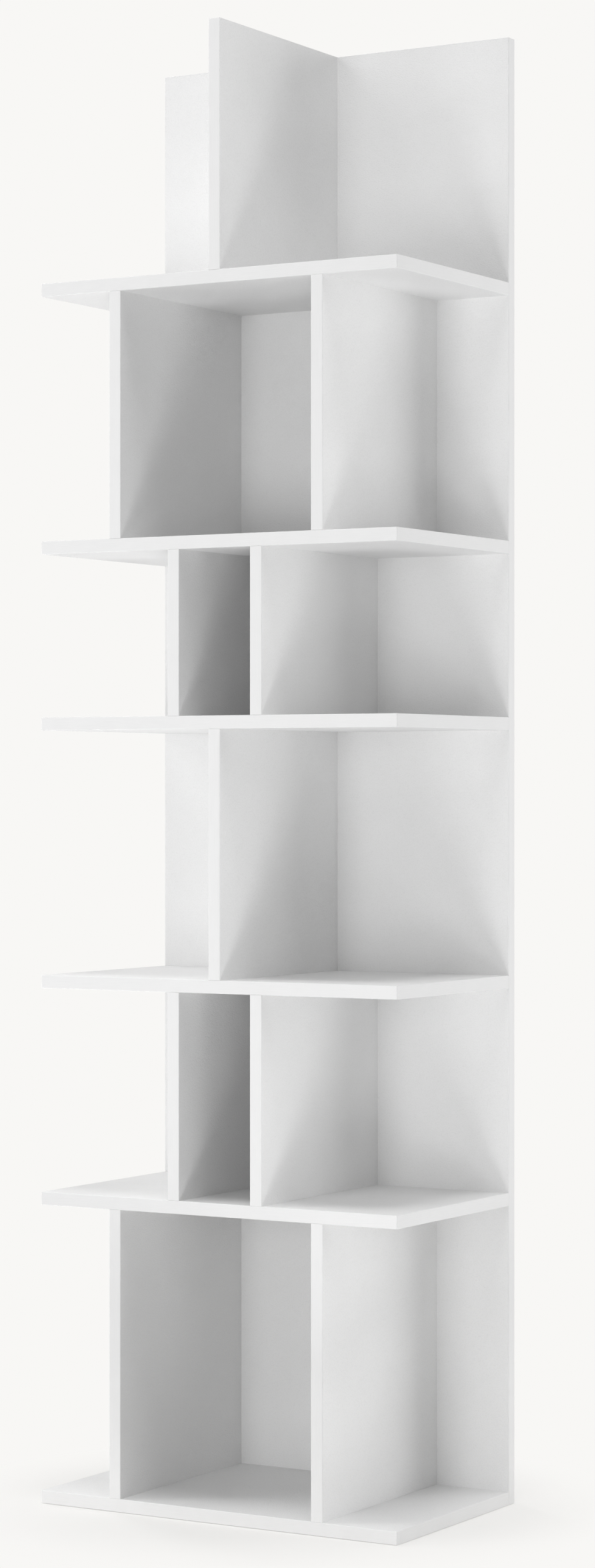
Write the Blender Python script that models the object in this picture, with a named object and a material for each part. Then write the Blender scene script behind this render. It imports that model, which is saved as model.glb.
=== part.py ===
# Open-shelf unit of white laminated board
# A full-height back panel carries six shelves with open ends. The dividers between the shelves step
# in and out from one tier to the next, and the highest one rises to the top of the back panel.
# Screws through the back panel hold every board's rear edge, and blind dowels hold the dividers' ends.
# Metres, +Z up, the front towards -Y, the origin on the floor under the middle of the unit.

import math

import bmesh
import bpy
from mathutils import Matrix, Vector

# Boards
WIDTH = 0.500  # the unit, side to side
SHELF_DEPTH = 0.280  # shelves and dividers, from their front edge to the back panel
BOARD = 0.016  # thickness of shelves and dividers
BACK_BOARD = 0.016  # thickness of the back panel
EDGE_RADIUS = 0.0008  # rounding of the edge strips
EDGE_STEPS = 2
CIRCULAR = 0.5  # a bevel's profile, from hollow at 0 to full at 1

# Clear height of each tier, from the floor up
TIER_1_HEIGHT = 0.350
TIER_2_HEIGHT = 0.250
TIER_3_HEIGHT = 0.300
TIER_4_HEIGHT = 0.200
TIER_5_HEIGHT = 0.300
TIER_6_HEIGHT = 0.300

# Places of the dividers
OUTER_INSET = 0.100  # from the unit's side to an outer divider
INNER_GAP = 0.100  # between the two inner dividers

# Clearances
FIT_GAP = 0.0003  # between any two pieces that meet
OVERRUN = 0.002  # how far a hole's cutter runs past the surface that it enters

# One-piece furniture screw with a countersunk head and a hexagon socket
SCREW_LENGTH = 0.050
SCREW_HEAD_RADIUS = 0.005
SCREW_HEAD_HEIGHT = 0.0035
SCREW_HEAD_RIM = 0.0004
SCREW_COLLAR_RADIUS = 0.0035
SCREW_COLLAR_LENGTH = 0.008
SCREW_THREAD_RADIUS = 0.00315
SCREW_TIP_RADIUS = 0.0016
SCREW_TIP_LENGTH = 0.004
SCREW_SOCKET_WIDTH = 0.004  # across its flats
SCREW_SOCKET_DEPTH = 0.003
SCREW_SUNK = 0.0004  # the head's top under the panel's rear face
SCREW_SIDES = 12
SHELF_SCREW_INSET = 0.060  # from a shelf's end to its screw
HELD_SCREW_SHARES = (0.5,)  # screw heights on a divider that stands between two shelves
FREE_SCREW_SHARES = (0.25, 0.75)  # screw heights on the divider that no shelf covers

# Wooden dowel
DOWEL_LENGTH = 0.030
DOWEL_RADIUS = 0.004
DOWEL_CHAMFER = 0.001
DOWEL_SIDES = 12
DOWEL_SKIN = 0.005  # board left between a dowel's hole and a shelf's far face
DOWEL_SETBACK = 0.060  # from the front edge to a dowel's axis

# Worked out from the sizes above
DEPTH = SHELF_DEPTH + BACK_BOARD
FRONT = -DEPTH / 2
REAR = DEPTH / 2
PANEL_FACE = REAR - BACK_BOARD
SIDE = WIDTH / 2
OUTER_PLACE = SIDE - OUTER_INSET - BOARD / 2
INNER_PLACE = INNER_GAP / 2 + BOARD / 2
OUTER_PAIR = {"left": -OUTER_PLACE, "right": OUTER_PLACE}
INNER_PAIR = {"left": -INNER_PLACE, "right": INNER_PLACE}
SINGLE = {"centre": 0}
TIERS = (
    (TIER_1_HEIGHT, OUTER_PAIR),
    (TIER_2_HEIGHT, INNER_PAIR),
    (TIER_3_HEIGHT, SINGLE),
    (TIER_4_HEIGHT, INNER_PAIR),
    (TIER_5_HEIGHT, OUTER_PAIR),
    (TIER_6_HEIGHT, SINGLE),
)

# Outward directions of a board's faces that meet another board, so that their edges stay square
TO_REAR = (0, 1, 0)
TO_TOP = (0, 0, 1)
TO_BOTTOM = (0, 0, -1)


def clear_scene():
    for thing in list(bpy.data.objects):
        bpy.data.objects.remove(thing, do_unlink=True)


def make_material(name, colour, roughness, metallic):
    material = bpy.data.materials.new(name)
    material.use_nodes = True
    shader = material.node_tree.nodes["Principled BSDF"]
    shader.inputs["Base Color"].default_value = (*colour, 1)
    shader.inputs["Roughness"].default_value = roughness
    shader.inputs["Metallic"].default_value = metallic
    material.diffuse_color = (*colour, 1)
    return material


def add_object(name, mesh, parent):
    thing = bpy.data.objects.new(name, mesh)
    bpy.context.scene.collection.objects.link(thing)
    thing.parent = parent
    return thing


# Turned forms


def round_ring(radius, sides):
    """Points of a circle about the Z axis."""
    return [Matrix.Rotation(math.tau * i / sides, 3, "Z") @ Vector((radius, 0, 0)) for i in range(sides)]


def hexagon_ring(width, sides):
    """The same count of points on a hexagon, given across its flats."""
    ring = []
    for i in range(sides):
        turn = math.tau * i / sides
        off_flat = (turn % (math.tau / 6)) - math.tau / 12
        reach = width / 2 / math.cos(off_flat)
        ring.append(Vector((reach * math.cos(turn), reach * math.sin(turn), 0)))
    return ring


def loft(bm, rings, placed):
    """A closed solid through rings of points, each given with its depth below the local origin."""
    rows = []
    for depth, ring in rings:
        rows.append([bm.verts.new(placed @ (point - Vector((0, 0, depth)))) for point in ring])
    faces = [bm.faces.new(rows[0]), bm.faces.new(reversed(rows[-1]))]
    for upper, lower in zip(rows, rows[1:]):
        for i in range(len(upper)):
            j = (i + 1) % len(upper)
            faces.append(bm.faces.new((upper[i], lower[i], lower[j], upper[j])))
    bmesh.ops.recalc_face_normals(bm, faces=faces)


def mesh_from(bm, name, material):
    mesh = bpy.data.meshes.new(name)
    bm.to_mesh(mesh)
    bm.free()
    if material:
        mesh.materials.append(material)
    return mesh


# Screw and its stepped hole


def screw_outline():
    """Depth and radius down the screw's outside, from the head's rim to the tip."""
    collar_end = SCREW_HEAD_HEIGHT + SCREW_COLLAR_LENGTH
    step = SCREW_COLLAR_RADIUS - SCREW_THREAD_RADIUS
    return [
        (SCREW_HEAD_RIM, SCREW_HEAD_RADIUS),
        (SCREW_HEAD_HEIGHT, SCREW_COLLAR_RADIUS),
        (collar_end, SCREW_COLLAR_RADIUS),
        (collar_end + step, SCREW_THREAD_RADIUS),
        (SCREW_LENGTH - SCREW_TIP_LENGTH, SCREW_THREAD_RADIUS),
        (SCREW_LENGTH, SCREW_TIP_RADIUS),
    ]


def screw_mesh(material):
    bm = bmesh.new()
    socket = hexagon_ring(SCREW_SOCKET_WIDTH, SCREW_SIDES)
    rings = [(SCREW_SOCKET_DEPTH, socket), (0, socket)]
    rings.append((0, round_ring(SCREW_HEAD_RADIUS, SCREW_SIDES)))
    for depth, radius in screw_outline():
        rings.append((depth, round_ring(radius, SCREW_SIDES)))
    loft(bm, rings, Matrix.Identity(4))
    return mesh_from(bm, "screw", material)


def cut_screw_hole(bm, placed):
    """The screw's own outline, grown by the gap, from outside the panel to past the tip."""
    rings = [(-SCREW_SUNK - OVERRUN, round_ring(SCREW_HEAD_RADIUS + FIT_GAP, SCREW_SIDES))]
    for depth, radius in screw_outline():
        rings.append((depth + FIT_GAP, round_ring(radius + FIT_GAP, SCREW_SIDES)))
    loft(bm, rings, placed)


def screw_place(x, z):
    """On the panel's rear face, with the shank pointing to the front."""
    return Matrix.Translation((x, REAR - SCREW_SUNK, z)) @ Matrix.Rotation(-math.pi / 2, 4, "X")


# Dowel and its blind hole


def dowel_mesh(material):
    bm = bmesh.new()
    chamfered = round_ring(DOWEL_RADIUS - DOWEL_CHAMFER, DOWEL_SIDES)
    full = round_ring(DOWEL_RADIUS, DOWEL_SIDES)
    half = DOWEL_LENGTH / 2
    rings = [
        (-half, chamfered),
        (DOWEL_CHAMFER - half, full),
        (half - DOWEL_CHAMFER, full),
        (half, chamfered),
    ]
    loft(bm, rings, Matrix.Identity(4))
    return mesh_from(bm, "dowel", material)


def cut_dowel_hole(bm, placed):
    ring = round_ring(DOWEL_RADIUS + FIT_GAP, DOWEL_SIDES)
    reach = DOWEL_LENGTH / 2 + FIT_GAP
    loft(bm, [(-reach, ring), (reach, ring)], placed)


def dowel_place(x, shelf_face, upward):
    """Half in a shelf, whose face is given, and half in the divider that stands or hangs on it."""
    into_shelf = BOARD - DOWEL_SKIN - FIT_GAP
    rise = DOWEL_LENGTH / 2 - into_shelf
    z = shelf_face + rise if upward else shelf_face - rise
    return Matrix.Translation((x, FRONT + DOWEL_SETBACK, z))


# Boards


def make_board(name, low, high, butting, material, parent):
    """A board between two corners, with its edges rounded except round the faces that butt on another board."""
    size = Vector(high) - Vector(low)
    bm = bmesh.new()
    bmesh.ops.create_cube(bm, size=1)
    bmesh.ops.scale(bm, vec=size, verts=bm.verts)
    bm.normal_update()
    square = [face for face in bm.faces if tuple(round(c) for c in face.normal) in butting]
    banded = [edge for edge in bm.edges if not any(face in square for face in edge.link_faces)]
    bmesh.ops.bevel(
        bm,
        geom=banded,
        offset=EDGE_RADIUS,
        segments=EDGE_STEPS,
        profile=CIRCULAR,
        affect="EDGES",
        clamp_overlap=True,
    )
    mesh = mesh_from(bm, name, material)
    mesh.shade_smooth()
    mesh.set_sharp_from_angle(angle=math.radians(30))
    board = add_object(name, mesh, parent)
    board.location = (Vector(low) + Vector(high)) / 2
    return board


def drill(board, holes, parent):
    """Cuts the board with one hidden body for each hole. A hole is a cutter function and its place."""
    bm = bmesh.new()
    for cut_hole, placed in holes:
        cut_hole(bm, placed)
    cutter = add_object(board.name + "_drill", mesh_from(bm, board.name + "_drill", None), parent)
    cutter.hide_render = True
    cutter.display_type = "WIRE"
    drilled = board.modifiers.new("holes", "BOOLEAN")
    drilled.operation = "DIFFERENCE"
    drilled.solver = "EXACT"
    drilled.object = cutter


def put(name, mesh, placed, parent):
    piece = add_object(name, mesh, parent)
    piece.matrix_local = placed
    return piece


# The unit, from the floor up

clear_scene()
white_board = make_material("white_board", (0.84, 0.84, 0.835), 0.45, 0.0)
zinc_steel = make_material("zinc_steel", (0.62, 0.63, 0.64), 0.35, 1.0)
beech = make_material("beech", (0.72, 0.53, 0.34), 0.60, 0.0)

unit = add_object("open_shelf_unit", None, None)
screw_form = screw_mesh(zinc_steel)
dowel_form = dowel_mesh(beech)
for form in (screw_form, dowel_form):
    form.shade_smooth()
    form.set_sharp_from_angle(angle=math.radians(35))

# Height of each shelf's underside, and of the top of the unit
undersides = [0]
for clear_height, places in TIERS:
    undersides.append(undersides[-1] + BOARD + clear_height)
top = undersides.pop()

# Places of all screws and dowels, by the boards that they enter
panel_holes = []
shelf_holes = [[] for z in undersides]
divider_holes = {}


def add_screw(name, x, z, entered):
    """A screw through the back panel, and its hole in the panel and in the board that it enters."""
    placed = screw_place(x, z)
    put(name, screw_form, placed, unit)
    panel_holes.append((cut_screw_hole, placed))
    entered.append((cut_screw_hole, placed))


def add_dowel(name, x, shelf, upward, entered):
    """A dowel between a shelf, counted from the floor, and the divider above or below it."""
    face = undersides[shelf] + BOARD if upward else undersides[shelf]
    placed = dowel_place(x, face, upward)
    put(name, dowel_form, placed, unit)
    shelf_holes[shelf].append((cut_dowel_hole, placed))
    entered.append((cut_dowel_hole, placed))


for tier, (clear_height, places) in enumerate(TIERS):
    floor = undersides[tier] + BOARD
    covered = tier + 1 < len(undersides)
    for side, x in places.items():
        name = f"{tier + 1}_{side}"
        holes = []
        shares = HELD_SCREW_SHARES if covered else FREE_SCREW_SHARES
        for number, share in enumerate(shares, 1):
            ending = f"_{number}" if len(shares) > 1 else ""
            add_screw(f"divider_screw_{name}{ending}", x, floor + clear_height * share, holes)
        add_dowel(f"dowel_{name}_foot", x, tier, True, holes)
        butting = {TO_REAR, TO_BOTTOM}
        head = floor + clear_height
        if covered:
            add_dowel(f"dowel_{name}_head", x, tier + 1, False, holes)
            butting.add(TO_TOP)
            head -= FIT_GAP
        low = (x - BOARD / 2, FRONT, floor + FIT_GAP)
        high = (x + BOARD / 2, PANEL_FACE - FIT_GAP, head)
        divider = make_board(f"divider_{name}", low, high, butting, white_board, unit)
        drill(divider, holes, unit)

for shelf, z in enumerate(undersides):
    holes = shelf_holes[shelf]
    for side, x in (("left", SHELF_SCREW_INSET - SIDE), ("right", SIDE - SHELF_SCREW_INSET)):
        add_screw(f"shelf_screw_{shelf + 1}_{side}", x, z + BOARD / 2, holes)
    low = (-SIDE, FRONT, z)
    high = (SIDE, PANEL_FACE - FIT_GAP, z + BOARD)
    board = make_board(f"shelf_{shelf + 1}", low, high, {TO_REAR}, white_board, unit)
    drill(board, holes, unit)

panel = make_board("back_panel", (-SIDE, PANEL_FACE, 0), (SIDE, REAR, top), set(), white_board, unit)
drill(panel, panel_holes, unit)
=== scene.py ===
# Open-shelf unit of white laminated board: the visible pieces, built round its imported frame.
# Metres, +Z up, the front towards -Y. The sections follow the order of assembly, and each board
# takes its place and size from the frame.

import math

import bmesh
import bpy
from mathutils import Matrix, Vector


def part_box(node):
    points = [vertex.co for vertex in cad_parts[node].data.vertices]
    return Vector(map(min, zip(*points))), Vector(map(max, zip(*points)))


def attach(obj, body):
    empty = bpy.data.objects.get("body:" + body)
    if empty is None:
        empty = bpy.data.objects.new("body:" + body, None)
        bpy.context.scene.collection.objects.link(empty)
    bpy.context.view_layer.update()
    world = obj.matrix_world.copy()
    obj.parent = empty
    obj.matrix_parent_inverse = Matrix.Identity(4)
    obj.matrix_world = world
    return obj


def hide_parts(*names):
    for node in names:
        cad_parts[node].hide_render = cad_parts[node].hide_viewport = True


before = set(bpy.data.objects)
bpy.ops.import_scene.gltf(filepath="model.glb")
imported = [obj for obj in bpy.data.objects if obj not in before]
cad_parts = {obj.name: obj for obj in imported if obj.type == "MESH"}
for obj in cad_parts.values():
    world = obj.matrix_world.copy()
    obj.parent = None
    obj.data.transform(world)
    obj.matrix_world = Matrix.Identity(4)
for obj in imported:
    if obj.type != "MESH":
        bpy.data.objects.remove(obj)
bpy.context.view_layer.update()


# Dowels
# Beech pins, 8 x 30 mm, glued half in a shelf and half in a divider's end, near the front. They
# are cut from rod, rolled with straight flutes that let the glue out, and chamfered at both ends.

DOWEL_CHAMFER = 0.001
CHAMFER_BEND = 0.7  # where the chamfer bends, as a share of its length from the end
BEND_INSET = 0.25  # how far inside the dowel's outline it bends, as a share of its width
DOWEL_CREASE = 40  # degrees, over which an edge stays sharp
DOWEL_FLUTES = 14
FLUTE_DEPTH = 0.00022
POINTS_PER_FLUTE = 4
BEECH_LIGHT = (0.70, 0.50, 0.315, 1)
BEECH_DARK = (0.56, 0.375, 0.215, 1)
BEECH_FLECK = (0.33, 0.19, 0.10, 1)
BEECH_ROUGHNESS = 0.58
BEECH_RELIEF = 0.00006
FIBRE = 0.00035  # widths of a fibre, a growth ring and a pore
GROWTH_RING = 0.0016
PORE = 0.00022
FIBRE_STRETCH = (1, 1, 0.05)  # scales along X, Y and Z: the smaller, the longer the mark
RING_STRETCH = (1, 0.2, 0.02)
PORE_STRETCH = (1, 1, 0.12)


class Flow:
    """One output among a material's nodes. Sums and products of flows add their Math nodes."""

    def __init__(self, tree, socket=None):
        self.tree = tree
        self.socket = socket

    def node(self, kind, settings, inputs, output=0):
        """Adds a node, settings first, then its inputs' values or links, and gives an output."""
        made = self.tree.nodes.new("ShaderNode" + kind)
        for name, value in settings.items():
            if name == "stops":
                stops = made.color_ramp.elements
                while len(stops) < len(value):
                    stops.new(1)
                for stop, (place, colour) in zip(stops, value):
                    stop.position = place
                    stop.color = colour
            else:
                setattr(made, name, value)
        for name, value in inputs.items():
            if isinstance(value, Flow):
                self.tree.links.new(value.socket, made.inputs[name])
            else:
                made.inputs[name].default_value = value
        return Flow(self.tree, made.outputs[output])

    def math(self, operation, first, second):
        return self.node("Math", {"operation": operation}, {0: first, 1: second})

    def __add__(self, other):
        return self.math("ADD", self, other)

    __radd__ = __add__

    def __sub__(self, other):
        return self.math("SUBTRACT", self, other)

    def __rsub__(self, other):
        return self.math("SUBTRACT", other, self)

    def __mul__(self, other):
        return self.math("MULTIPLY", self, other)

    def stretched(self, x, y, z):
        """This vector with each direction at its own scale."""
        return self.node("VectorMath", {"operation": "MULTIPLY"}, {0: self, 1: (x, y, z)})

    def between(self, low, high):
        """A colour from low to high, as this goes from 0 to 1. They go in at 6 and 7, out at 2."""
        return self.node("Mix", {"data_type": "RGBA"}, {0: self, 6: low, 7: high}, 2)

    def ramp(self, start, end):
        """0 up to the start, 1 from the end on, and smooth between them."""
        limits = {"Value": self, "From Min": start, "From Max": end}
        return self.node("MapRange", {"interpolation_type": "SMOOTHSTEP"}, limits)


def noise(place, size, detail):
    """Soft noise whose patches are about as wide as the size, at the scale of the place."""
    return place.node("TexNoise", {}, {"Vector": place, "Scale": 1 / size, "Detail": detail})


def relief(height, strength, depth):
    """A normal that follows a height, of which 1 stands for the depth."""
    return height.node("Bump", {}, {"Strength": strength, "Distance": depth, "Height": height})


def new_material(name):
    """A material, its shader, and a flow to start its nodes from."""
    material = bpy.data.materials.new(name)
    material.use_nodes = True
    return material, material.node_tree.nodes["Principled BSDF"], Flow(material.node_tree)


def feed(shader, inputs):
    """Links what changes over the surface, and sets what doesn't."""
    for name, value in inputs.items():
        if isinstance(value, Flow):
            value.tree.links.new(value.socket, shader.inputs[name])
        else:
            shader.inputs[name].default_value = value


def make_beech():
    material, shader, start = new_material("beech")
    place = start.node("TexCoord", {}, {}, "Object")
    fibre = noise(place.stretched(*FIBRE_STRETCH), FIBRE, 3)
    growth = noise(place.stretched(*RING_STRETCH), GROWTH_RING, 2)
    pore = noise(place.stretched(*PORE_STRETCH), PORE, 1).ramp(0.66, 0.72)
    wood = (growth * 0.6 + fibre * 0.4).ramp(0.35, 0.65).between(BEECH_DARK, BEECH_LIGHT)
    height = fibre * 0.7 - pore * 0.5
    feed(shader, {
        "Base Color": (pore * 0.7).between(wood, BEECH_FLECK),
        "Roughness": BEECH_ROUGHNESS + pore * 0.2 - growth * 0.1,
        "Normal": relief(height, 0.6, BEECH_RELIEF),
    })
    return material


def loft(bm, rings):
    """Skins rows of points, each a closed ring, and closes the first and the last with a face."""
    rows = [[bm.verts.new(point) for point in ring] for ring in rings]
    bm.faces.new(rows[0])
    bm.faces.new(reversed(rows[-1]))
    for upper, lower in zip(rows, rows[1:]):
        for i in range(len(upper)):
            j = (i + 1) % len(upper)
            bm.faces.new((upper[i], lower[i], lower[j], upper[j]))
    bmesh.ops.recalc_face_normals(bm, faces=bm.faces)


def ring(radius, height, sides):
    """Points of a level circle. The radius may be a function of the turn."""
    points = []
    for i in range(sides):
        turn = math.tau * i / sides
        reach = radius(turn) if callable(radius) else radius
        points.append(Vector((reach * math.cos(turn), reach * math.sin(turn), height)))
    return points


def smooth_mesh(bm, name, materials, sharp_angle):
    """The finished mesh, smooth but for edges sharper than the angle, in degrees."""
    mesh = bpy.data.meshes.new(name)
    bm.to_mesh(mesh)
    bm.free()
    for material in materials:
        mesh.materials.append(material)
    mesh.shade_smooth()
    mesh.set_sharp_from_angle(angle=math.radians(sharp_angle))
    return mesh


def put(name, mesh, placed, node):
    """Shows a piece in the stead of a CAD node."""
    piece = bpy.data.objects.new(name, mesh)
    bpy.context.scene.collection.objects.link(piece)
    piece.matrix_world = placed
    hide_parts(node)
    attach(piece, "root")
    return piece


def dowel_mesh(radius, length, materials):
    sides = DOWEL_FLUTES * POINTS_PER_FLUTE

    def fluted(turn):
        return radius - FLUTE_DEPTH * (1 - math.cos(turn * DOWEL_FLUTES)) / 2

    def bent(turn):
        return fluted(turn) - DOWEL_CHAMFER * BEND_INSET

    half = length / 2
    bm = bmesh.new()
    loft(bm, [
        ring(radius - DOWEL_CHAMFER, half, sides),
        ring(bent, half - DOWEL_CHAMFER * CHAMFER_BEND, sides),
        ring(fluted, half - DOWEL_CHAMFER, sides),
        ring(fluted, DOWEL_CHAMFER - half, sides),
        ring(bent, DOWEL_CHAMFER * CHAMFER_BEND - half, sides),
        ring(radius - DOWEL_CHAMFER, -half, sides),
    ])
    return smooth_mesh(bm, "dowel", materials, DOWEL_CREASE)


dowel_nodes = sorted(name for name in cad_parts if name.startswith("dowel_"))
dowel_low, dowel_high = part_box(dowel_nodes[0])
dowel_radius = (dowel_high.x - dowel_low.x) / 2
dowel_length = dowel_high.z - dowel_low.z
dowel_form = dowel_mesh(dowel_radius, dowel_length, [make_beech()])
for node in dowel_nodes:
    low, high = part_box(node)
    put("beech_" + node, dowel_form, Matrix.Translation((low + high) / 2), node)


# Shelves
# Six particle boards, 16 mm thick, faced with white melamine paper pressed on a pebbled plate.
# Plastic strips are glued on the ends, then on the front over their ends, and trimmed round. Each
# raw rear edge has two stepped holes for screws, and the faces have blind holes for the dowels.

STRIP = 0.001
STRIP_ROUNDING = 0.0008
ROUNDING_STEPS = 6
GLUE_LINE = 0.00002  # between a strip and what lies behind it
JOINT_CHAMFER = 0.00008  # on the laminate's edge, beside a strip
CAD_GAP = 0.0003  # left between two solids of the frame
SEATED_GAP = 0.00002  # left between two boards that are screwed together
ROUND_PROFILE = 0.5  # a quarter circle
HOLE_CLEARANCE = 0.00012
HOLE_SIDES = 32
BOARD_CREASE = 30
FACING = 0.5  # a face looks along an axis where its normal reaches over this
LAMINATE, STRIP_FINISH, CORE = range(3)  # places in the list of a board's finishes

LAMINATE_WHITE = (0.882, 0.882, 0.882, 1)
LAMINATE_SHADE = (0.810, 0.810, 0.810, 1)
LAMINATE_ROUGHNESS = 0.50
PEBBLE = 0.0016  # width of one pebble in the pressed surface
PEBBLE_SCATTER = 0.85  # 0 in even rows, 1 wholly scattered
PEBBLE_HEIGHT = 0.00016
PRESS_PATCH = 0.16  # widths of the patches that the press, hands and cloths leave
HANDLED_PATCH = 0.045
WIPED_STREAK = 0.02
WIPED_STRETCH = (1, 1, 0.18)
STRIP_WHITE = (0.820, 0.820, 0.820, 1)
# The lighter end of the strip's tone. Its fine lines and patches reach towards it, and its rounded
# edges are painted towards it as a highlight.
STRIP_LIGHTER = (0.896, 0.896, 0.896, 1)
STRIP_ROUGHNESS = 0.42
STRIP_RELIEF = 0.00002
STRIP_LINE = 0.0004  # widths of the fine lines along a strip, its patches and its nicks
STRIP_PATCH = 0.03
STRIP_NICK = 0.0022
LINE_STRETCH = (0.012, 1, 1)
CHIP_DARK = (0.235, 0.150, 0.080, 1)
CHIP_MIDDLE = (0.470, 0.335, 0.195, 1)
CHIP_LIGHT = (0.660, 0.520, 0.340, 1)
CHIPS_PER_METRE = 900
CHIP_STRETCH = (0.5, 0.5, 1.6)
CHIP_DUST = 0.0005
CORE_RELIEF = 0.0002
WHITE_SPECULAR = 0.35  # of the laminate and the strips

# The sides of a box, each an axis and a direction along it
LEFT, RIGHT = (0, -1), (0, 1)
FRONT, REAR = (1, -1), (1, 1)
BOTTOM, TOP = (2, -1), (2, 1)

# Outline of the screw, as depth under the top of its head and radius, which its holes follow
HEAD_RIM = 0.0004
HEAD_HEIGHT = 0.0035
COLLAR_RADIUS = 0.0035
COLLAR_END = 0.0115
SHANK_RADIUS = 0.00315
TIP_LENGTH = 0.004
TIP_RADIUS = 0.0016


def make_laminate():
    material, shader, start = new_material("pebbled_white_laminate")
    place = start.node("TexCoord", {}, {}, "Object")
    cells = {"Vector": place, "Scale": 1 / PEBBLE, "Randomness": PEBBLE_SCATTER}
    reach = place.node("TexVoronoi", {}, cells)
    pebbles = 1 - reach * reach
    fine = noise(place, PEBBLE / 4, 2)
    press = noise(place, PRESS_PATCH, 3)
    handled = noise(place, HANDLED_PATCH, 4)
    wiped = noise(place.stretched(*WIPED_STRETCH), WIPED_STREAK, 3)
    height = pebbles + fine * 0.25
    tone = press.ramp(0.3, 0.7) * 0.4 + pebbles.ramp(0.25, 0.95) * 0.4 + fine * 0.2
    feed(shader, {
        "Base Color": tone.between(LAMINATE_SHADE, LAMINATE_WHITE),
        "Roughness": LAMINATE_ROUGHNESS + handled * 0.12 + wiped * 0.08 - pebbles * 0.08 - 0.04,
        "Specular IOR Level": WHITE_SPECULAR,
        "Normal": relief(height, 1.0, PEBBLE_HEIGHT),
    })
    return material


def make_edge_strip():
    material, shader, start = new_material("white_edge_strip")
    run = start.node("Attribute", {"attribute_name": "run"}, {}, "Vector")
    # 1 on the strip's rounded edges: its colour is painted lighter there as a highlight, and the
    # wear gathers there too.
    rub = start.node("Attribute", {"attribute_name": "rub"}, {}, "Fac")
    lines = noise(run.stretched(*LINE_STRETCH), STRIP_LINE, 2)
    patches = noise(run, STRIP_PATCH, 4)
    nicks = noise(run, STRIP_NICK, 3)
    # Patches and nicks along the rounded edges: wear that is glossier, and painted lighter as a
    # highlight as well.
    wear_and_highlight = (rub * 1.4 * patches.ramp(0.30, 0.70) * nicks.ramp(0.25, 0.60)).ramp(0.05, 0.85)
    height = lines + nicks * 0.3
    lines_seen, patches_seen = lines.ramp(0.35, 0.65), patches.ramp(0.35, 0.65)
    # The tone is painted lighter along the rounded edges as a highlight, on top of the lines,
    # patches and wear.
    tone = lines_seen * 0.25 + patches_seen * 0.12 + wear_and_highlight * 0.26 + rub * 0.10
    feed(shader, {
        "Base Color": tone.between(STRIP_WHITE, STRIP_LIGHTER),
        "Roughness": STRIP_ROUGHNESS + lines * 0.08 + patches * 0.06 - wear_and_highlight * 0.12 - 0.07,
        "Specular IOR Level": WHITE_SPECULAR,
        "Normal": relief(height, 0.8, STRIP_RELIEF),
    })
    return material


def make_particle_core():
    material, shader, start = new_material("particle_core")
    place = start.node("TexCoord", {}, {}, "Object")
    flattened = place.stretched(*CHIP_STRETCH)
    cells = {"Vector": flattened, "Scale": CHIPS_PER_METRE, "Randomness": 1.0}
    chips = place.node("TexVoronoi", {}, cells)
    dust = noise(place, CHIP_DUST, 3)
    tone = chips * 0.9 + dust * 0.4
    stops = {"stops": [(0.25, CHIP_LIGHT), (0.55, CHIP_MIDDLE), (0.85, CHIP_DARK)]}
    feed(shader, {
        "Base Color": tone.node("ValToRGB", stops, {"Fac": tone}),
        "Roughness": 0.75 + dust * 0.2,
        "Normal": relief(1 - tone, 0.8, CORE_RELIEF),
    })
    return material


def peeled(box, side, depth):
    """The box with a layer taken off one side, or laid on it where the depth is below zero."""
    axis, way = side
    low, high = Vector(box[0]), Vector(box[1])
    if way > 0:
        high[axis] -= depth
    else:
        low[axis] += depth
    return low, high


def add_box(bm, box, square, radius, steps):
    """Adds a box, rounded but for its square sides' edges, and gives its points and faces."""
    old_verts, old_faces = set(bm.verts), set(bm.faces)
    low, high = box
    placed = Matrix.LocRotScale((low + high) / 2, None, high - low)
    bmesh.ops.create_cube(bm, size=1, matrix=placed)
    bm.normal_update()
    fresh = set(bm.faces) - old_faces
    cornered = [
        face for face in fresh if any(face.normal[axis] * way > FACING for axis, way in square)
    ]
    edges = {edge for face in fresh for edge in face.edges}
    rounded = [edge for edge in edges if not any(face in cornered for face in edge.link_faces)]
    bmesh.ops.bevel(
        bm,
        geom=rounded,
        offset=radius,
        segments=steps,
        profile=ROUND_PROFILE,
        affect="EDGES",
        clamp_overlap=True,
    )
    return set(bm.verts) - old_verts, set(bm.faces) - old_faces


def add_strip(bm, board, side, covered, butting):
    """Glues a strip on a board's side, square where another strip or board covers its ends."""
    axis, way = side
    thickness = board[1][axis] - board[0][axis]
    strip = peeled(board, (axis, -way), thickness - STRIP)
    across = [later for later in covered if later[0] != axis]
    for later in across:
        strip = peeled(strip, later, STRIP + GLUE_LINE)
    square = {(axis, -way), *across, *butting}
    points, faces = add_box(bm, strip, square, STRIP_ROUNDING, ROUNDING_STEPS)
    for face in faces:
        face.material_index = STRIP_FINISH
    size = strip[1] - strip[0]
    along = max(range(3), key=lambda i: size[i])
    # Each point gets 1 on the strip's rounded edges and 0 a rounding's width in. The strip's
    # finish uses this for a painted highlight and for wear along those edges.
    rub = bm.verts.layers.float["rub"]
    run = bm.verts.layers.float_vector["run"]
    open_sides = [(i, w) for i in range(3) for w in (-1, 1) if (i, w) not in square]
    for vert in points:
        vert[run] = [vert.co[(along + i) % 3] for i in range(3)]
        insets = sorted(
            (strip[1][i] - vert.co[i]) if w > 0 else (vert.co[i] - strip[0][i])
            for i, w in open_sides
        )
        vert[rub] = max(0, 1 - insets[1] / STRIP_ROUNDING)


def screw_outline(length):
    """Depth and radius down the screw's outside, from the head's rim to the tip."""
    return [
        (HEAD_RIM, screw_head_radius),
        (HEAD_HEIGHT, COLLAR_RADIUS),
        (COLLAR_END, COLLAR_RADIUS),
        (COLLAR_END + COLLAR_RADIUS - SHANK_RADIUS, SHANK_RADIUS),
        (length - TIP_LENGTH, SHANK_RADIUS),
        (length, TIP_RADIUS),
    ]


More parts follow.
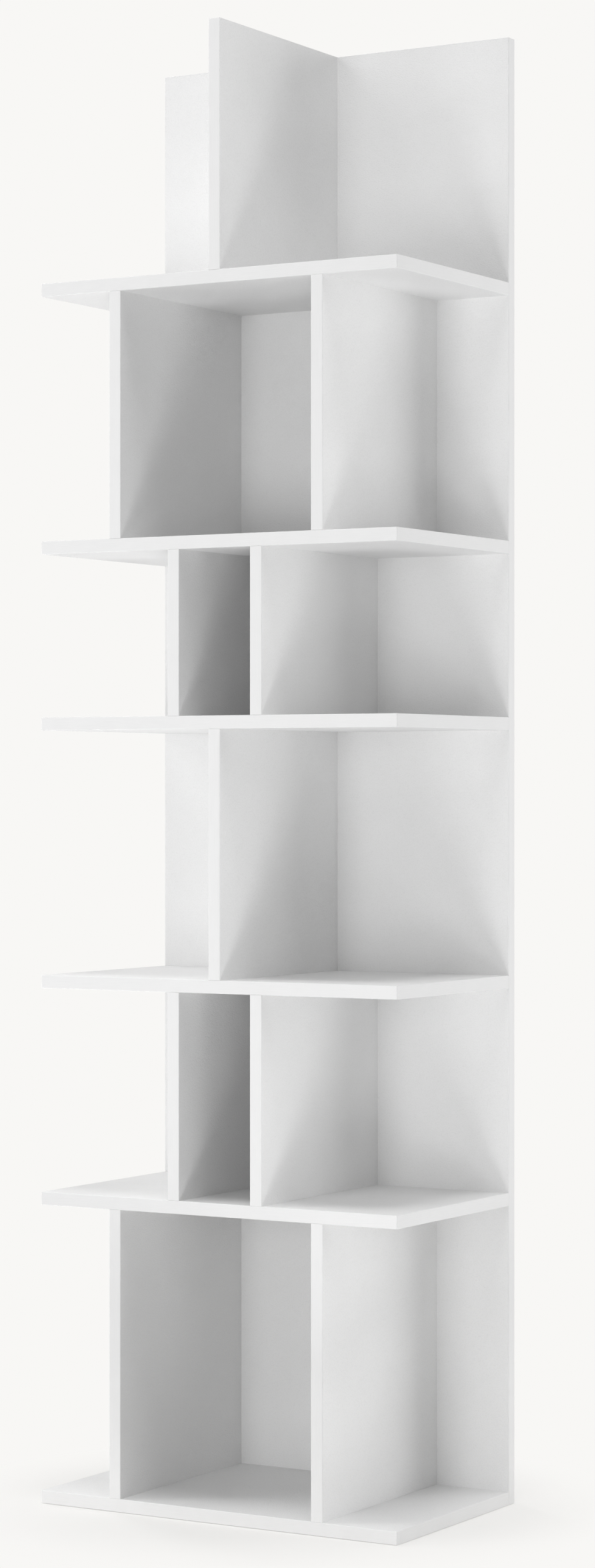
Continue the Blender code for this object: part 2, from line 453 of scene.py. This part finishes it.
def cut_screw_hole(bm, node):
    """The screw's outline with a little room, from behind the panel to past the tip."""
    placed = screw_place(node)
    rings = [ring(screw_head_radius + HOLE_CLEARANCE, CAD_GAP + HEAD_HEIGHT, HOLE_SIDES)]
    for depth, radius in screw_outline(screw_length):
        rings.append(ring(radius + HOLE_CLEARANCE, -depth - HOLE_CLEARANCE, HOLE_SIDES))
    loft(bm, [[placed @ point for point in points] for points in rings])


def cut_dowel_hole(bm, node):
    low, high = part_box(node)
    middle = (low + high) / 2
    rings = []
    for reach in (dowel_length / 2 + CAD_GAP, -dowel_length / 2 - CAD_GAP):
        circle = ring(dowel_radius + HOLE_CLEARANCE, reach, HOLE_SIDES)
        rings.append([middle + point for point in circle])
    loft(bm, rings)


def screw_place(node):
    """The screw's frame: the top of its head at the origin, its tip down -Z, turned forward."""
    low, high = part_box(node)
    head = Vector(((low.x + high.x) / 2, high.y, (low.z + high.z) / 2))
    return Matrix.Translation(head) @ Matrix.Rotation(-math.pi / 2, 4, "X")


def meets(node, box):
    low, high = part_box(node)
    return all(low[i] < box[1][i] and high[i] > box[0][i] for i in range(3))


def drilled(core, box):
    """The core's mesh, less the holes of all screws and dowels that reach into its box."""
    cutter = bmesh.new()
    for node in screw_nodes:
        if meets(node, box):
            cut_screw_hole(cutter, node)
    for node in dowel_nodes:
        if meets(node, box):
            cut_dowel_hole(cutter, node)
    for face in cutter.faces:
        face.material_index = CORE
    things = []
    for shape in (core, cutter):
        mesh = bpy.data.meshes.new("blank")
        shape.to_mesh(mesh)
        shape.free()
        for material in board_finishes:
            mesh.materials.append(material)
        things.append(bpy.data.objects.new("blank", mesh))
        bpy.context.scene.collection.objects.link(things[-1])
    holes = things[0].modifiers.new("holes", "BOOLEAN")
    holes.operation = "DIFFERENCE"
    holes.solver = "EXACT"
    holes.object = things[1]
    shown = things[0].evaluated_get(bpy.context.evaluated_depsgraph_get())
    mesh = bpy.data.meshes.new_from_object(shown)
    for thing in things:
        blank = thing.data
        bpy.data.objects.remove(thing)
        bpy.data.meshes.remove(blank)
    return mesh


def make_board(node, butting, banded):
    """A laminated board, square where it butts, with its strips in their order of gluing."""
    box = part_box(node)
    for side in butting:
        box = peeled(box, side, SEATED_GAP - CAD_GAP)
    core_box = box
    for side in banded:
        core_box = peeled(core_box, side, STRIP + GLUE_LINE)
    core = bmesh.new()
    add_box(core, core_box, butting, JOINT_CHAMFER, 1)
    core.normal_update()
    size = box[1] - box[0]
    through = min(range(3), key=lambda i: size[i])
    for face in core.faces:
        face.material_index = LAMINATE if abs(face.normal[through]) > FACING else CORE
    bm = bmesh.new()
    bm.from_mesh(drilled(core, core_box))
    bm.verts.layers.float.new("rub")
    bm.verts.layers.float_vector.new("run")
    for step, side in enumerate(banded):
        add_strip(bm, box, side, banded[step + 1:], butting)
    mesh = smooth_mesh(bm, node, board_finishes, BOARD_CREASE)
    board = put("white_" + node, mesh, Matrix(), node)
    level = board.modifiers.new("flat_faces", "WEIGHTED_NORMAL")
    level.keep_sharp = True
    return board


screw_nodes = sorted(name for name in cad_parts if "_screw_" in name)
screw_low, screw_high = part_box(screw_nodes[0])
screw_length = screw_high.y - screw_low.y
screw_head_radius = (screw_high.x - screw_low.x) / 2
board_finishes = [make_laminate(), make_edge_strip(), make_particle_core()]

boards = [name for name in sorted(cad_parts) if name not in screw_nodes + dowel_nodes]
for node in [name for name in boards if name.startswith("shelf_")]:
    make_board(node, butting=(REAR,), banded=(LEFT, RIGHT, FRONT))


# Dividers
# Ten upright boards of the same kind, which step in and out from tier to tier. Nine stand between
# two shelves, with raw ends on the dowels. The highest has an open top, with its own strip there.

for node in [name for name in boards if name.startswith("divider_")]:
    has_head = node.replace("divider", "dowel") + "_head" in dowel_nodes
    if has_head:
        make_board(node, butting=(REAR, BOTTOM, TOP), banded=(FRONT,))
    else:
        make_board(node, butting=(REAR, BOTTOM), banded=(TOP, FRONT))


# Back panel
# One board behind the whole unit, with strips on its short sides first and on its long sides over
# them. Stepped holes, countersunk from behind, let 23 screws into the shelves and the dividers.

make_board("back_panel", butting=(), banded=(BOTTOM, TOP, LEFT, RIGHT))


# Screws
# One-piece furniture screws, 6.3 x 50 mm, of zinc-plated steel, with a countersunk head, a hexagon
# socket, a plain collar that fills the panel's hole, and a coarse rolled thread beyond it.

SCREW_SIDES = 36
SOCKET_WIDTH = 0.004  # across its flats
SOCKET_DEPTH = 0.003
SOCKET_LEAD = 0.00018
SOCKET_CONE = 0.0005
SOCKET_POINT = SOCKET_WIDTH / 20  # radius of the flat in the middle of its cone
HEAD_CHAMFER = 0.00015
THREAD_PITCH = 0.003
THREAD_ROOT = 0.0022
THREAD_ROWS = 10  # rings of points in one turn of the thread
THREAD_STOP = TIP_LENGTH / 4  # left plain at the end of the tip
TOOTH_SHARE = 0.27  # half the width of a tooth, as a share of the pitch
TOOTH_MIDDLE = 0.5  # where its crest lies, as a share of the pitch
ZINC_LIGHT = (0.66, 0.67, 0.69, 1)
ZINC_DARK = (0.52, 0.53, 0.55, 1)
ZINC_ROUGHNESS = 0.36
ZINC_RELIEF = 0.00002
SPANGLE = 0.0009  # widths of a zinc crystal, a dull patch and a scratch
DULL_PATCH = 0.004
SCRATCH = 0.00018
SCRATCH_STRETCH = (0.15, 1, 1)
SCREW_CREASE = 18


def make_zinc():
    material, shader, start = new_material("zinc_plated_steel")
    place = start.node("TexCoord", {}, {}, "Object")
    spangle = noise(place, SPANGLE, 2)
    dull = noise(place, DULL_PATCH, 4)
    scratches = noise(place.stretched(*SCRATCH_STRETCH), SCRATCH, 2)
    height = scratches + spangle * 0.5
    feed(shader, {
        "Base Color": (dull * 0.6 + spangle * 0.4).ramp(0.35, 0.65).between(ZINC_DARK, ZINC_LIGHT),
        "Metallic": 1.0,
        "Roughness": ZINC_ROUGHNESS + dull * 0.20 + scratches * 0.10 - 0.12,
        "Normal": relief(height, 0.5, ZINC_RELIEF),
    })
    return material


def hexagon(width):
    """The reach of a hexagon, given across its flats, at each turn."""
    return lambda turn: width / 2 / math.cos(turn % (math.tau / 6) - math.tau / 12)


def widest(depth):
    """The radius of shank and tapered tip at a depth, which the thread stays within."""
    past_shank = max(0, depth - (screw_length - TIP_LENGTH))
    return SHANK_RADIUS - (SHANK_RADIUS - TIP_RADIUS) * past_shank / TIP_LENGTH


def thread(depth, start, end):
    """The thread's reach at a depth, at each turn. It grows in, and thins out at the tip."""
    grown = min(1, (depth - start) / THREAD_PITCH, (end - depth) / THREAD_PITCH)
    height = (SHANK_RADIUS - THREAD_ROOT) * grown

    def reach(turn):
        phase = (depth / THREAD_PITCH - turn / math.tau) % 1
        tooth = max(0, 1 - abs(phase - TOOTH_MIDDLE) / TOOTH_SHARE)
        return min(THREAD_ROOT + height * tooth, widest(depth))

    return reach


def screw_mesh(materials):
    collar_foot = COLLAR_END + COLLAR_RADIUS - THREAD_ROOT
    thread_end = screw_length - THREAD_STOP
    rows = round((thread_end - collar_foot) / THREAD_PITCH * THREAD_ROWS)
    outline = [
        (SOCKET_DEPTH + SOCKET_CONE, SOCKET_POINT),
        (SOCKET_DEPTH, hexagon(SOCKET_WIDTH)),
        (SOCKET_LEAD, hexagon(SOCKET_WIDTH)),
        (0, SOCKET_WIDTH / math.sqrt(3) + SOCKET_LEAD / 2),
        (0, screw_head_radius - HEAD_CHAMFER),
        (HEAD_CHAMFER, screw_head_radius),
        (HEAD_RIM, screw_head_radius),
        (HEAD_HEIGHT, COLLAR_RADIUS),
        (COLLAR_END, COLLAR_RADIUS),
        (collar_foot, THREAD_ROOT),
    ]
    for row in range(1, rows):
        depth = collar_foot + (thread_end - collar_foot) * row / rows
        outline.append((depth, thread(depth, collar_foot, thread_end)))
    outline.append((thread_end, min(THREAD_ROOT, widest(thread_end))))
    outline.append((screw_length, TIP_RADIUS))
    bm = bmesh.new()
    loft(bm, [ring(radius, -depth, SCREW_SIDES) for depth, radius in outline])
    return smooth_mesh(bm, "screw", materials, SCREW_CREASE)


screw_form = screw_mesh([make_zinc()])
for node in screw_nodes:
    put("zinc_" + node, screw_form, screw_place(node), node)


# Floor and backdrop
# A pale matt floor that takes the unit's shadow, and fades with distance into the backdrop. The
# camera and gloss see that off-white backdrop, and the surfaces are lit by the white room.

FLOOR_RADIUS = 0.46
FLOOR_SIDES = 96
FLOOR_DROP = 0.0005
FLOOR_COLOUR = (0.925, 0.917, 0.901, 1)
FLOOR_ROUGHNESS = 0.85
FLOOR_SPECULAR = 0.2
FLOOR_MOTTLE = 0.05  # width of its patches
MOTTLE_SHADE = 0.99  # their tone, as a share of the floor's
BACKDROP = (0.938, 0.930, 0.913, 1)
SHADOW_NEAR = 0.22  # the shadow fades from here, from the middle of the unit
SHADOW_FAR = 0.44  # and from here on the floor has the backdrop's tone
SHADOW_HAZE = 0.4  # share of the backdrop's tone in the floor, where the shadow is full
ROOM_LIGHT = 0.338


def seen_directly(start):
    """1 for rays from the camera, in gloss or through glass, and 0 for light on surfaces."""
    kinds = ("Is Camera Ray", "Is Glossy Ray", "Is Transmission Ray")
    path = [start.node("LightPath", {}, {}, kind) for kind in kinds]
    return (path[0] + path[1] + path[2]).ramp(0, 1)


def make_floor():
    material, shader, start = new_material("pale_floor")
    place = start.node("TexCoord", {}, {}, "Object")
    distance = place.node("VectorMath", {"operation": "LENGTH"}, {0: place}, "Value")
    mottle = noise(place, FLOOR_MOTTLE, 4)
    shade = tuple(MOTTLE_SHADE * part for part in FLOOR_COLOUR)
    feed(shader, {
        "Base Color": mottle.between(FLOOR_COLOUR, shade),
        "Roughness": FLOOR_ROUGHNESS + mottle * 0.05,
        "Specular IOR Level": FLOOR_SPECULAR,
    })
    glow = start.node("Emission", {}, {"Color": BACKDROP, "Strength": 1.0})
    hazed = SHADOW_HAZE + distance.ramp(SHADOW_NEAR, SHADOW_FAR) * (1 - SHADOW_HAZE)
    faded = seen_directly(start) * hazed
    matt = Flow(start.tree, shader.outputs[0])
    mixed = start.node("MixShader", {}, {0: faded, 1: matt, 2: glow})
    start.tree.links.new(mixed.socket, start.tree.nodes["Material Output"].inputs["Surface"])
    return material


floor_shape = bmesh.new()
bmesh.ops.create_circle(floor_shape, cap_ends=True, segments=FLOOR_SIDES, radius=FLOOR_RADIUS)
floor_mesh = bpy.data.meshes.new("floor")
floor_shape.to_mesh(floor_mesh)
floor_shape.free()
floor_mesh.materials.append(make_floor())
floor = bpy.data.objects.new("floor", floor_mesh)
floor.location.z = -FLOOR_DROP
bpy.context.scene.collection.objects.link(floor)

world = bpy.data.worlds.new("backdrop")
bpy.context.scene.world = world
world.use_nodes = True
around = Flow(world.node_tree)
room = around.node("Background", {}, {"Color": (1, 1, 1, 1), "Strength": ROOM_LIGHT})
backdrop = around.node("Background", {}, {"Color": BACKDROP, "Strength": 1.0})
both = around.node("MixShader", {}, {0: seen_directly(around), 1: room, 2: backdrop})
world.node_tree.links.new(both.socket, world.node_tree.nodes["World Output"].inputs["Surface"])


# Lamps
# Soft round lamps on a sphere round the unit, three of them larger. Each has its bearing from the
# front, towards +X, its elevation, its width in metres and its power in watts. The two behind stay
# out of reflections, or the screw heads would mirror them and burn out to white.

LAMP_DISTANCE = 4.5
LAMP_AIM = Vector((0, 0, 0.9))
LAMPS = {
    "left_high": (-120, 30, 1.4, 35),
    "left_low": (-90, -50, 1.4, 50),
    "front_left_wide": (-67, 40, 3.0, 52),
    "front_left": (-60, 0, 1.4, 46),
    "front": (0, 0, 1.4, 22),
    "front_low": (0, -10, 1.4, 31),
    "front_right_low": (30, -50, 1.4, 45),
    "right_low": (60, -30, 1.4, 19),
    "right_top": (45, 75, 1.4, 60),
    "rear_right": (135, 0, 4.2, 118),
    "rear": (180, 0, 3.0, 27),
}
for name, (bearing, elevation, width, watts) in LAMPS.items():
    turn, rise = math.radians(bearing), math.radians(elevation)
    level = math.cos(rise)
    way = Vector((math.sin(turn) * level, -math.cos(turn) * level, math.sin(rise)))
    light = bpy.data.lights.new(name, "AREA")
    light.shape = "DISK"
    light.size = width
    light.energy = watts
    lamp = bpy.data.objects.new(name, light)
    lamp.location = LAMP_AIM + way * LAMP_DISTANCE
    lamp.rotation_euler = (-way).to_track_quat("-Z", "Y").to_euler()
    lamp.visible_camera = False
    lamp.visible_glossy = not name.startswith("rear")
    bpy.context.scene.collection.objects.link(lamp)


# Camera
# A long lens 4.5 m off, on the unit's front right, level and near the height of its middle. Being
# level, it keeps the boards' upright edges upright, as in the photograph.

CAMERA_PLACE = (2.33275, -3.87675, 0.87465)
CAMERA_TURN = 30.733
CAMERA_LENS = 84.650
CAMERA_SENSOR = 36
CAMERA_SHIFT = 0.0040

camera_data = bpy.data.cameras.new("camera")
camera_data.lens = CAMERA_LENS
camera_data.sensor_width = CAMERA_SENSOR
camera_data.shift_y = CAMERA_SHIFT
camera = bpy.data.objects.new("camera", camera_data)
camera.location = CAMERA_PLACE
camera.rotation_euler = (math.pi / 2, 0, math.radians(CAMERA_TURN))
bpy.context.scene.collection.objects.link(camera)
bpy.context.scene.camera = camera
bpy.context.scene.view_settings.view_transform = "Standard"
